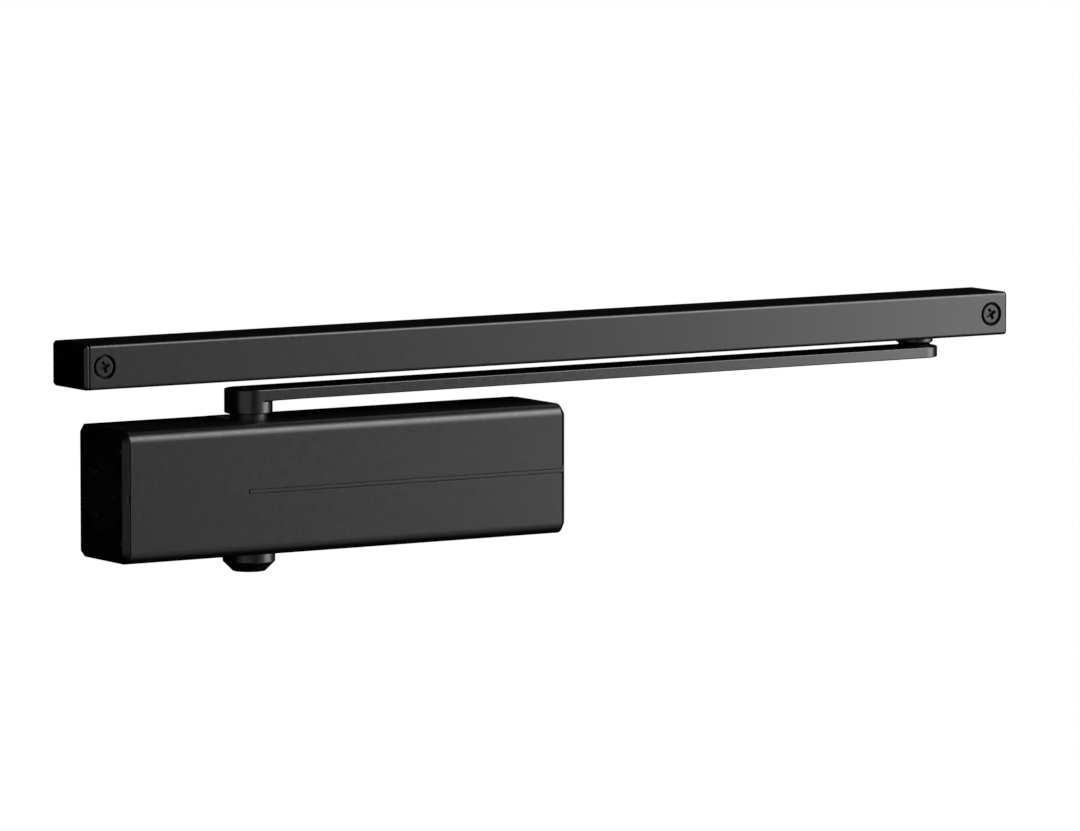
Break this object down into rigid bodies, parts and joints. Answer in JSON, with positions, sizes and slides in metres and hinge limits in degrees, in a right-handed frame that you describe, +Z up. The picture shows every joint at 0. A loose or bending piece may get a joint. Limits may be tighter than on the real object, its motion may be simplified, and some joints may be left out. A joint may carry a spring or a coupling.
{
  "type": "door closer",
  "caption": "Surface-mounted cam-action door closer: boxed hydraulic body, flat arm on the spindle, and a slotted guide rail with a slide block.",
  "frame": {"origin": "on the closer's flat mounting face, in line with the spindle axis, at the body's mid-height", "axes": "+X along the rail and body towards the spring end, +Y out of the mounting face into the door, +Z up"},
  "size_m": [0.5064, 0.044, 0.1086],
  "materials": {
    "black_coat": "satin",
    "black_cast": "matte",
    "black_plastic": "matte",
    "black_steel": "satin",
    "steel": "machined",
    "spring_steel": "oiled",
    "brass": "machined",
    "rubber": "matte"
  },
  "bodies": {
    "closer_body": {"closer_housing": "black_cast", "front_cover": "black_coat", "end_cap_left": "black_cast", "end_cap_right": "black_cast", "end_cap_screw_left_upper": "black_steel", "end_cap_screw_left_lower": "black_steel", "end_cap_screw_right_upper": "black_steel", "end_cap_screw_right_lower": "black_steel", "end_plug_left": "black_steel", "end_plug_right": "black_steel", "plug_seal_left": "rubber", "plug_seal_right": "rubber", "upper_bearing_nut": "steel", "upper_bearing": "brass", "lower_bearing": "brass", "upper_spindle_seal": "rubber", "lower_spindle_seal": "rubber", "upper_gland_ring": "steel", "lower_gland_ring": "steel", "mounting_screw_left_upper": "steel", "mounting_screw_left_lower": "steel", "mounting_screw_right_upper": "steel", "mounting_screw_right_lower": "steel", "closing_spring": "spring_steel", "damping_spring": "spring_steel"},
    "spindle_and_arm": {"cam_spindle": "black_steel", "spindle_cap": "black_plastic", "slide_arm": "black_coat", "arm_screw": "black_steel", "slider_pin": "black_steel"},
    "slide_block": {"slide_block": "black_plastic"},
    "rail": {"guide_rail": "black_coat", "rail_end_cap_left": "black_plastic", "rail_end_cap_right": "black_plastic", "rail_screw_left": "black_steel", "rail_screw_right": "black_steel"},
    "closing_piston": {"closing_piston": "steel", "piston_check_valve": "brass", "closing_roller_pin": "steel"},
    "closing_roller": {"closing_roller": "steel"},
    "damping_piston": {"damping_piston": "steel", "damping_roller_pin": "steel"},
    "damping_roller": {"damping_roller": "steel"},
    "backcheck_valve": {"backcheck_valve": "brass"},
    "latching_speed_valve": {"latching_speed_valve": "brass"},
    "closing_speed_valve": {"closing_speed_valve": "brass"},
    "spring_adjuster_screw": {"spring_adjuster_screw": "steel"},
    "spring_plate": {"spring_plate": "steel"}
  },
  "joints": [
    {"name": "spindle_turn", "type": "hinge", "parent": "closer_body", "child": "spindle_and_arm", "pos_m": [0, -0.022, 0], "axis": [0, 0, 1], "range_deg": [0, 150], "stiffness_Nm_per_rad": 8},
    {"name": "slider_pivot", "type": "hinge", "parent": "spindle_and_arm", "child": "slide_block", "pos_m": [0.3724, -0.0165, 0], "axis": [0, 0, 1], "range_deg": [-60, 5]},
    {"name": "rail_slide", "type": "slide", "parent": "slide_block", "child": "rail", "axis": [1, 0, 0], "range_m": [-0.006, 0.42]},
    {"name": "closing_piston_slide", "type": "slide", "parent": "closer_body", "child": "closing_piston", "axis": [1, 0, 0], "range_m": [0, 0.00672], "deforming": ["closing_spring"]},
    {"name": "damping_piston_slide", "type": "slide", "parent": "closer_body", "child": "damping_piston", "axis": [1, 0, 0], "range_m": [0, 0.00672], "deforming": ["damping_spring"]},
    {"name": "closing_roller_spin", "type": "hinge", "parent": "closing_piston", "child": "closing_roller", "pos_m": [0.0135, -0.022, 0], "axis": [0, 0, 1], "continuous": true},
    {"name": "damping_roller_spin", "type": "hinge", "parent": "damping_piston", "child": "damping_roller", "pos_m": [-0.0215, -0.022, 0], "axis": [0, 0, 1], "continuous": true},
    {"name": "backcheck_valve_turn", "type": "hinge", "parent": "closer_body", "child": "backcheck_valve", "pos_m": [-0.02, -0.0422, -0.022], "axis": [0, -1, 0], "range_deg": [0, 720]},
    {"name": "latching_speed_valve_turn", "type": "hinge", "parent": "closer_body", "child": "latching_speed_valve", "pos_m": [-0.031, -0.0422, -0.022], "axis": [0, -1, 0], "range_deg": [0, 720]},
    {"name": "closing_speed_valve_turn", "type": "hinge", "parent": "closer_body", "child": "closing_speed_valve", "pos_m": [-0.042, -0.0422, -0.022], "axis": [0, -1, 0], "range_deg": [0, 720]},
    {"name": "spring_adjuster_turn", "type": "hinge", "parent": "closer_body", "child": "spring_adjuster_screw", "pos_m": [0.15, -0.022, 0], "axis": [1, 0, 0], "range_deg": [0, 721]},
    {"name": "spring_plate_slide", "type": "slide", "parent": "closer_body", "child": "spring_plate", "axis": [1, 0, 0], "range_m": [0, 0.003]}
  ],
  "couplings": [
    {"joint": "closing_piston_slide", "follows": "spindle_turn", "m_per_rad": 0.0025465},
    {"joint": "damping_piston_slide", "follows": "spindle_turn", "m_per_rad": 0.0025465},
    {"joint": "spring_adjuster_turn", "follows": "spring_plate_slide", "rad_per_m": 4188.8}
  ]
}
